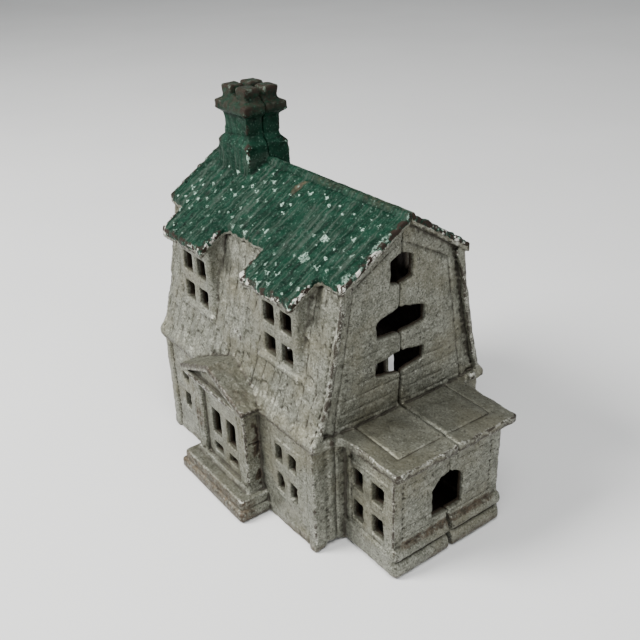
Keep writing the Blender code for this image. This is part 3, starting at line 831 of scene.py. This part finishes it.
def rust_share(x, out, z, over, side):
    """Where the paint has rusted through, from 0 to 1. The height over the roof is given too."""
    ridge = ramp(out, 2.6, 0.8) * ramp(np.abs(over), 1.5, 0.6) * ramp(x, -16, 0)
    crown = ramp(z, 97.9, 98.6)
    streak = ramp(np.abs(x - 3 - 0.8 * np.sin(out)), 1.7, 0.7) * ramp(np.abs(over), 1.5, 0.8)
    streak = streak * ramp(out, 1.4, 2.2) * ramp(out, 7.5, 5.5) * (side == FRONT)
    step = ramp(z, 7.4, 6.4) * ramp(out, 29.5, 31.5) * (1 - 0.75 * ramp(np.abs(z - 6.3), 0.6, 0.2))
    foot = ramp(z, 4.5, 0.8)
    hood = ramp(z, 33.6, 34.6) * ramp(out, 26.5, 28.5) * ramp(x, -0.2, 0.6) * ramp(z, 41, 40)
    shelf = ramp(np.abs(z - 8.8), 1.5, 0.5) * ramp(x, 52.5, 53.5) * ramp(out, 18, 14)
    patch = ramp((x + 11) ** 2 / 6 + (z - 17.5) ** 2 / 16, 1.2, 0.2) * ramp(out, 30.0, 30.6)
    rust = (0.32 * ridge, 0.55 * streak, 0.2 * crown, 0.75 * step, 0.62 * foot, 0.75 * shelf,
            0.45 * hood, 0.8 * patch)
    return np.clip(np.maximum.reduce(rust), 0, 1)


def lip_share(x, out, z):
    """1 on the thin lower edges of the eaves, the porch roof and the step, where iron shows and where
    shade under the overhangs is partly painted.
    """
    far = np.abs(x)
    rake = PEDIMENT_APEX_Z + (PEDIMENT_EAVE_Z - PEDIMENT_APEX_Z) * far / PEDIMENT_HALF
    gable_edge = ramp(np.abs(z - rake + 0.3), 0.9, 0.5) * ramp(np.abs(out - PEDIMENT_Y), 0.7, 0.4)
    gable_edge = gable_edge * (far < PEDIMENT_HALF + 0.5)
    hood_eave = ramp(far, 15.4, 15.8) * ramp(far, 16.8, 16.5) * ramp(np.abs(z - 32.6), 0.9, 0.5)
    hood_eave = hood_eave * ramp(out, 27.9, 28.4)
    porch_edge = np.maximum(ramp(x, 56.2, 56.6), ramp(out, 18.4, 18.8) * ramp(out, 20.2, 19.8))
    porch_edge = porch_edge * ramp(x, 40, 42) * ramp(np.abs(z - 31.2), 0.95, 0.6)
    eave_edge = ramp(out, 26.8, 27.1) * ramp(out, 28.6, 28.3) * ramp(np.abs(z - 31.3), 1.0, 0.7)
    step_edge = np.maximum(ramp(out, 35.2, 35.7), ramp(far, 15.3, 15.7) * ramp(out, 27, 27.5))
    step_edge = step_edge * (far < 16.6) * ramp(z, 1.8, 0.9)
    return np.maximum.reduce([gable_edge, hood_eave, porch_edge, eave_edge, 0.8 * step_edge])


def inner_share(points, side):
    """1 in the hollow, 0 on the outside, and between on the reveals of the openings."""
    x, out, z = points.T
    wall = np.interp(z, (0, EAVE_Z - 1, 41.5, 48, ROOF_Z - 3, ROOF_Z),
                     (BODY_Y, BODY_Y, 24.0, 22.4, 18.2, 17.0))
    depth = np.minimum(wall - out, BODY_X - np.abs(x))
    in_dormer = (np.abs(np.abs(x) - DORMER_X) < DORMER_HALF) & (z > DORMER_FOOT + 1) & (z < 68)
    cheek = DORMER_HALF - np.abs(np.abs(x) - DORMER_X)
    depth = np.where(in_dormer, np.minimum(DORMER_Y - out, np.maximum(cheek, depth)), depth)
    in_porch = (x > BODY_X - 3) & (out < PORCH_Y) & (z < PORCH_ROOF_LOW)
    depth = np.where(in_porch, np.minimum(PORCH_Y - out, PORCH_X - x), depth)
    in_portico = (np.abs(x) < PORTICO_HALF) & (z < 31) & (out > BODY_Y - 2) & (side == FRONT)
    depth = np.where(in_portico, PORTICO_Y - 1.1 - out, depth)
    roof = -rise_over_roof(points)
    depth = np.minimum(depth, np.where(z > 62, roof, 9))
    return ramp(depth, 0.4, 2.6)


def make_casting(name, side, material):
    f = casting_field(side)
    points, quads = largest_part(*surface(f))
    if side == FRONT:
        quads = quads[:, ::-1]
    obj = linked(name, mesh_of(name, points * [1, side, 1], quads))
    decimated(obj, MOST_FACES)
    mark(obj, f, points_of(obj) * [1, side, 1], side)
    return finished(obj, material, (ORIGIN_X, ORIGIN_Y, 0))


def make_screw(material):
    """The slotted round-head screw with its thread, along y through z = SCREW_Z."""
    f = Field((-5, SCREW_TIP - 0.6, -5), (5, HEAD_SEAT + HEAD_HIGH + 0.6, 5), SCREW_CELL)
    x, y, z = f.axes[0][:, None, None], f.axes[1][None, :, None], f.axes[2][None, None, :]
    around = np.sqrt(x ** 2 + z ** 2)
    turn = np.arctan2(z, x) / (2 * pi)
    tooth = np.abs((y / THREAD_PITCH - turn) % 1.0 - 0.5) * 2
    threaded = ramp(y, 10.5, 9.0)
    radius = SCREW_R - 0.05 - 0.42 * tooth * threaded - 0.15 * ramp(y, 8.0, 10.0)
    point = ramp(y, SCREW_TIP + 1.0, SCREW_TIP) * 0.6
    shank = both(around - radius + point, np.maximum(SCREW_TIP - y, y - HEAD_SEAT - 0.5), 0.15)
    bulge = np.sqrt(around ** 2 + (y - HEAD_SEAT + 3.0) ** 2) - 5.6
    head = both(both(around - HEAD_R, HEAD_SEAT - y, 0.2), bulge, 0.5)
    head = head + 0.05 * noise(f.axes, 0.7, 95)
    slot = both(np.abs(x) - 0.6, HEAD_SEAT + HEAD_HIGH - 1.3 - y, 0.1)
    f.value = np.clip(-blend_min(-np.minimum(shank, head), slot, 0.2), -REACH, REACH)
    f.value = f.value.astype(np.float32)
    points, quads = surface(f)
    obj = linked("screw_turned", mesh_of("screw_turned", points, quads))
    decimated(obj, SCREW_FACES)
    place = points_of(obj)
    solid = np.clip(0.5 - f.value / (2 * f.cell), 0, 1)
    store(obj, "edge", np.clip((0.5 - f.sample(blur(solid, 2), place)) * 3.0, -1, 1))
    return finished(obj, material, (ORIGIN_X, ORIGIN_Y, SCREW_Z * MM))


# ---- materials ----


SILVER_DARK, SILVER_LIGHT = (0.135, 0.137, 0.109), (0.212, 0.215, 0.177)
SILVER_PIT, SILVER_GLINT = (0.035, 0.033, 0.024), (0.45, 0.455, 0.4)
# Lighter worn edges: partly real rubbing, partly a painted highlight on the edges
SILVER_RUBBED_HIGHLIGHT = (0.46, 0.46, 0.41)
GRIME, DUST = (0.13, 0.115, 0.068), (0.085, 0.083, 0.06)
# Painted shade for the silver's creases and hollows, then dark pinhole dots
SILVER_CREASE_SHADE, SOOT_DOT = (0.026, 0.022, 0.016), (0.025, 0.022, 0.018)
# The first iron colour darkens flaked edges and the overhangs' lower lips; on the lips it is partly
# painted shade
IRON_AND_PAINTED_SHADE, IRON_DARK, IRON_SOOTY = (0.028, 0.021, 0.015), (0.019, 0.0135, 0.01), (0.022, 0.018, 0.013)
GREEN_DARK, GREEN_LIGHT = (0.0025, 0.0155, 0.0085), (0.005, 0.027, 0.0155)
GREEN_THIN, GREEN_THICK = (0.042, 0.055, 0.044), (0.0015, 0.006, 0.004)
# Painted shade for the green's creases and shingle gaps, then faded green
GREEN_CREASE_SHADE, GREEN_FADED = (0.002, 0.006, 0.004), (0.09, 0.15, 0.115)
CHIP, UNDERCOAT = (0.25, 0.36, 0.29), (0.48, 0.47, 0.42)
RUST_DARK, RUST_LIGHT = (0.022, 0.015, 0.01), (0.085, 0.062, 0.04)
# Reveal and hollow colours: bare iron, darkened as painted shade deeper into the openings and the
# hollow
REVEAL_DARK, REVEAL_LIGHT = (0.03, 0.022, 0.015), (0.08, 0.064, 0.045)
HOLLOW_DARK, HOLLOW_LIGHT = (0.008, 0.006, 0.005), (0.024, 0.016, 0.011)
STEEL_DARK, STEEL_LIGHT = (0.12, 0.1, 0.085), (0.26, 0.235, 0.21)
STEEL_RUST, STEEL_WORN = (0.14, 0.06, 0.03), (0.42, 0.4, 0.37)
SWEEP_DARK, SWEEP_LIGHT = (0.62, 0.62, 0.61), (0.68, 0.68, 0.67)


class Graph:
    """A small helper that adds shader nodes and joins them."""

    def __init__(self, name):
        self.material = bpy.data.materials.new(name)
        self.material.use_nodes = True
        self.tree = self.material.node_tree
        self.shader = self.tree.nodes["Principled BSDF"]
        self.place = self.node("TexCoord").outputs["Object"]

    def node(self, kind):
        return self.tree.nodes.new("ShaderNode" + kind)

    def join(self, value, socket):
        if isinstance(value, bpy.types.NodeSocket):
            self.tree.links.new(value, socket)
        elif isinstance(value, tuple):
            socket.default_value = (*value, 1.0) if len(value) == 3 else value
        else:
            socket.default_value = value

    def part(self, vector, letter):
        item = self.node("SeparateXYZ")
        self.join(vector, item.inputs[0])
        return item.outputs[letter]

    def set(self, name, value):
        self.join(value, self.shader.inputs[name])

    def attribute(self, name):
        item = self.node("Attribute")
        item.attribute_name = name
        return item.outputs["Fac"]

    def noise(self, size_mm, detail=3.0, rough=0.6, offset=0.0, stretch=None):
        item = self.node("TexNoise")
        item.inputs["Scale"].default_value = 1000.0 / size_mm
        item.inputs["Detail"].default_value = detail
        item.inputs["Roughness"].default_value = rough
        shift = self.node("Mapping")
        shift.inputs["Location"].default_value = (offset, offset * 1.7, -offset)
        shift.inputs["Scale"].default_value = stretch or (1.0, 1.0, 1.0)
        self.tree.links.new(self.place, shift.inputs["Vector"])
        self.tree.links.new(shift.outputs[0], item.inputs["Vector"])
        return item.outputs["Fac"]

    def range(self, value, low, high, to_low=0.0, to_high=1.0):
        item = self.node("MapRange")
        item.interpolation_type = "SMOOTHSTEP"
        for socket, given in zip(item.inputs, (value, low, high, to_low, to_high)):
            self.join(given, socket)
        return item.outputs[0]

    def math(self, kind, a, b):
        item = self.node("Math")
        item.operation = kind
        self.join(a, item.inputs[0])
        self.join(b, item.inputs[1])
        return item.outputs[0]

    def times(self, a, b):
        return self.math("MULTIPLY", a, b)

    def mix(self, share, a, b):
        item = self.node("Mix")
        item.data_type = "RGBA"
        self.join(share, item.inputs["Factor"])
        colours = [s for s in item.inputs if s.type == "RGBA"]
        self.join(a, colours[0])
        self.join(b, colours[1])
        return [s for s in item.outputs if s.type == "RGBA"][0]

    def coats(self, colour, *coats):
        """Lays each coat, a share and its colour, over what is there."""
        for share, coat in coats:
            colour = self.mix(share, colour, coat)
        return colour

    def bump(self, height, distance_mm, strength, normal=None):
        item = self.node("Bump")
        item.inputs["Distance"].default_value = distance_mm * MM
        item.inputs["Strength"].default_value = strength
        self.join(height, item.inputs["Height"])
        if normal is not None:
            self.join(normal, item.inputs["Normal"])
        return item.outputs["Normal"]


def paint_maps(g, offset):
    """The stored values and the noises that both paints read, kept on the graph."""
    g.edge, g.crest, g.dent = (g.attribute(name) for name in ("edge", "crest", "dent"))
    g.grain = g.noise(0.5, 2.0, 0.65, offset)
    g.blotch = g.noise(3.2, 3.0, 0.6, offset + 1)
    g.cloud = g.noise(14.0, 3.0, 0.55, offset + 2)
    g.speck = g.noise(1.0, 2.5, 0.75, offset + 3)
    g.coarse = g.noise(1.5, 3.0, 0.7, offset + 6)
    g.streak = g.noise(0.8, 2.0, 0.6, offset + 8, (1.0, 0.06, 0.06))
    g.dots = g.times(g.range(g.speck, 0.59, 0.66), 0.7)


def aged_silver(g):
    """Aluminium paint: grained, grimy on top, worn and flaked at edges; painted shade in its hollows
    and partly on the eaves' lips, painted highlight partly on the worn edges.
    """
    upward = g.range(g.part(g.node("NewGeometry").outputs["Normal"], "Z"), 0.55, 0.95)
    rubbed_highlight = g.times(g.range(g.edge, 0.3, 0.5), g.range(g.grain, 0.42, 0.58))
    flake = g.times(g.range(g.edge, 0.36, 0.54), g.range(g.coarse, 0.45, 0.51))
    # The lips of the overhangs are darkened partly as painted shade
    lip = g.times(g.attribute("lip"), g.range(g.grain, 0.68, 0.46, 0.5, 1.0))
    silver = g.mix(g.range(g.blotch, 0.35, 0.68), SILVER_DARK, SILVER_LIGHT)
    silver = g.mix(g.range(g.grain, 0.38, 0.52), g.mix(0.58, silver, SILVER_PIT), silver)
    return g.coats(
        silver,
        (g.range(g.grain, 0.59, 0.7, 0.0, 0.5), SILVER_GLINT),
        (g.times(g.range(g.cloud, 0.42, 0.66), 0.4), GRIME),
        (g.times(upward, 0.45), DUST),
        # Painted shade: the silver darkens in creases and hollows
        (g.times(g.range(g.dent, 0.12, 0.42), 0.85), SILVER_CREASE_SHADE),
        (g.dots, SOOT_DOT),
        # Worn edges lightened, partly real wear and partly painted highlight
        (g.times(rubbed_highlight, g.range(g.blotch, 0.35, 0.6, 0.1, 0.7)), SILVER_RUBBED_HIGHLIGHT),
        (g.times(g.math("MAXIMUM", flake, lip), 0.9), IRON_AND_PAINTED_SHADE),
    )


def aged_green(g):
    """Green paint: streaked down the slope, chipped at the shingles, worn through at the eaves."""
    height = g.times(g.part(g.place, "Z"), 1 / MM)
    chip = g.times(g.range(g.attribute("chips"), 0.5, 0.78), g.range(g.grain, 0.45, 0.53))
    stray = g.times(g.range(g.edge, 0.3, 0.5), g.range(g.coarse, 0.55, 0.6))
    chip = g.times(g.math("MAXIMUM", chip, stray), g.range(g.cloud, 0.4, 0.58, 0.4, 0.9))
    worn = g.times(g.range(g.crest, 0.46, 0.58), g.range(g.blotch, 0.515, 0.555))
    thin_share = g.range(height, RIDGE_Z + 2, RIDGE_Z - 1, 0.12, 0.55)
    below_ridge = g.range(height, RIDGE_Z - 2.5, RIDGE_Z - 8)
    crown = g.times(g.range(height, 94.5, 96.5), g.range(g.coarse, 0.4, 0.56, 0.2, 0.8))
    return g.coats(
        g.mix(g.range(g.blotch, 0.35, 0.65), GREEN_DARK, GREEN_LIGHT),
        (g.times(g.range(g.streak, 0.5, 0.66), thin_share), GREEN_THIN),
        (g.range(g.streak, 0.46, 0.36, 0.0, 0.6), GREEN_THICK),
        # Painted shade: the green darkens in creases and between shingles
        (g.times(g.range(g.dent, 0.08, 0.5), 0.7), GREEN_CREASE_SHADE),
        (g.range(g.grain, 0.57, 0.72, 0.0, 0.5), GREEN_FADED),
        (chip, CHIP),
        (g.times(worn, below_ridge), UNDERCOAT),
        (g.times(g.range(g.crest, 0.36, 0.5), g.range(g.coarse, 0.54, 0.48)), IRON_DARK),
        (crown, IRON_SOOTY),
    )


def old_paint(name, offset):
    """Worn aluminium paint on sand-cast iron, with green paint over the upper roof."""
    g = Graph(name)
    paint_maps(g, offset)
    ragged = g.times(g.math("SUBTRACT", g.blotch, 0.5), 0.5)
    border = g.math("ADD", g.attribute("green"), ragged)
    colour = g.mix(g.range(border, 0.42, 0.55), aged_silver(g), aged_green(g))

    rust_mask = g.math("ADD", g.attribute("rust"), g.math("SUBTRACT", g.cloud, 0.5))
    rust_mask = g.times(g.range(rust_mask, 0.3, 0.75), g.range(g.speck, 0.3, 0.55))
    rust = g.mix(g.range(g.coarse, 0.35, 0.65), RUST_DARK, RUST_LIGHT)
    colour = g.mix(g.times(rust_mask, 0.8), colour, rust)
    # Painted shade: the reveals darken, and the hollow goes near black deeper into the openings
    inside = g.attribute("inside")
    colour = g.mix(g.range(inside, 0.1, 0.4), colour, g.mix(g.grain, REVEAL_DARK, REVEAL_LIGHT))
    colour = g.mix(g.range(inside, 0.5, 1.0), colour, g.mix(g.blotch, HOLLOW_DARK, HOLLOW_LIGHT))
    g.set("Base Color", colour)

    metal = g.times(g.range(border, 0.5, 0.42), 0.6)
    g.set("Metallic", metal)
    g.set("Roughness", g.range(g.speck, 0.3, 0.7, 0.36, 0.58))
    g.set("Specular IOR Level", g.range(border, 0.42, 0.55, 0.25, 0.06))
    skin = g.bump(g.noise(5.0, 2.0, 0.5, offset + 9), 0.6, 0.8)
    skin = g.bump(g.noise(0.7, 4.0, 0.75, offset + 5), 0.2, 1.0, skin)
    g.set("Normal", g.bump(g.dots, 0.2, -1.0, skin))
    return g.material


def old_steel(name):
    g = Graph(name)
    blotch = g.noise(1.6, 3.0, 0.6, 7)
    metal = g.mix(g.range(blotch, 0.35, 0.65), STEEL_DARK, STEEL_LIGHT)
    rust = g.range(g.noise(0.9, 3.0, 0.7, 9), 0.52, 0.66)
    colour = g.mix(g.times(rust, 0.7), metal, STEEL_RUST)
    worn = g.times(g.range(g.attribute("edge"), 0.15, 0.5), 0.6)
    colour = g.mix(worn, colour, STEEL_WORN)
    g.set("Base Color", colour)
    g.set("Metallic", g.range(rust, 0.0, 1.0, 0.85, 0.2))
    g.set("Roughness", g.range(blotch, 0.3, 0.7, 0.32, 0.55))
    g.set("Normal", g.bump(g.noise(0.4, 3.0, 0.7, 11), 0.05, 0.8))
    return g.material


# ---- the studio ----


# Name, azimuth from the front door, elevation, distance and width in metres, watts, colour
LAMPS = (
    ("key", -24, 42, 0.8, 0.36, 13.6, (1.0, 0.995, 0.98)),
    ("top", 58, 62, 0.8, 0.5, 6.9, (1.0, 1.0, 1.0)),
    ("fill", 95, 22, 0.9, 0.9, 1.4, (0.98, 0.99, 1.0)),
)
LAMPS_AIM_Z = 0.04


def towards(azimuth, elevation):
    """The direction from the house to a lamp or the camera."""
    a, e = radians(azimuth), radians(elevation)
    return Vector((sin(a) * cos(e), -cos(a) * cos(e), sin(e)))


def studio():
    """A pale sweep under a pale sky, with three soft lamps."""
    g = Graph("pale_sweep")
    tint = g.mix(g.noise(90.0, 2.0, 0.5, 3), SWEEP_DARK, SWEEP_LIGHT)
    g.set("Base Color", tint)
    g.set("Roughness", 0.75)
    points = []
    width, front, back, radius, high = 1.6, -1.6, 1.1, 0.5, 1.6
    profile = [(front, 0.0), (back, 0.0)]
    for step in range(1, 13):
        angle = step / 12 * pi / 2
        profile.append((back + radius * sin(angle), radius * (1 - cos(angle))))
    profile.append((back + radius, high))
    for side in (-width, width):
        points += [(side, y, z) for y, z in profile]
    count = len(profile)
    quads = [(i, i + count, i + 1 + count, i + 1) for i in range(count - 1)]
    data = bpy.data.meshes.new("sweep")
    data.from_pydata(points, [], quads)
    data.shade_smooth()
    floor = linked("sweep", data)
    floor.rotation_euler = (0, 0, radians(CAMERA_AZIMUTH))
    data.materials.append(g.material)

    world = bpy.data.worlds.new("studio")
    bpy.context.scene.world = world
    world.use_nodes = True
    sky = world.node_tree.nodes["Background"]
    sky.inputs["Color"].default_value = (0.93, 0.96, 1.0, 1.0)
    sky.inputs["Strength"].default_value = 0.42
    for name, azimuth, elevation, distance, size, power, colour in LAMPS:
        back = towards(azimuth, elevation)
        data = bpy.data.lights.new(name, "AREA")
        data.shape = "DISK"
        data.size = size
        data.energy = power
        data.color = colour
        lamp = linked(name, data)
        lamp.location = back * distance + Vector((0, 0, LAMPS_AIM_Z))
        lamp.rotation_mode = "QUATERNION"
        lamp.rotation_quaternion = (-back).to_track_quat("-Z", "Y")


CAMERA_AZIMUTH = 54.357
CAMERA_ELEVATION = 28.174
CAMERA_ROLL = -2.061
CAMERA_DISTANCE = 221.362
CAMERA_TARGET = (3.934, 0.0, 43.272)
CAMERA_LENS = 46.39


def camera():
    back = towards(CAMERA_AZIMUTH, CAMERA_ELEVATION)
    right = (-back).cross(Vector((0, 0, 1))).normalized()
    up = right.cross(-back)
    c, s = cos(radians(CAMERA_ROLL)), sin(radians(CAMERA_ROLL))
    right, up = right * c + up * s, -right * s + up * c
    data = bpy.data.cameras.new("camera")
    data.lens = CAMERA_LENS
    data.sensor_width = 36.0
    data.clip_start = 0.005
    eye = linked("camera", data)
    turn = Matrix((right, up, back)).transposed().to_4x4()
    spot = (Vector(CAMERA_TARGET) + back * CAMERA_DISTANCE) * MM + Vector((ORIGIN_X, ORIGIN_Y, 0))
    eye.matrix_world = Matrix.Translation(spot) @ turn
    bpy.context.scene.camera = eye


# ---- the object ----

camera()
studio()
pieces = (
    ("front_half_casting", FRONT, "front_casting", "front_half", "front_paint"),
    ("rear_half_casting", REAR, "rear_casting", "rear_half", "rear_paint"),
)
for name, side, node, body_name, slot in pieces:
    casting = make_casting(name, side, old_paint(slot, 2.0 + side))
    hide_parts(node)
    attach(casting, body_name)

screw = make_screw(old_steel("screw_steel"))
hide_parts("screw")
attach(screw, "screw")
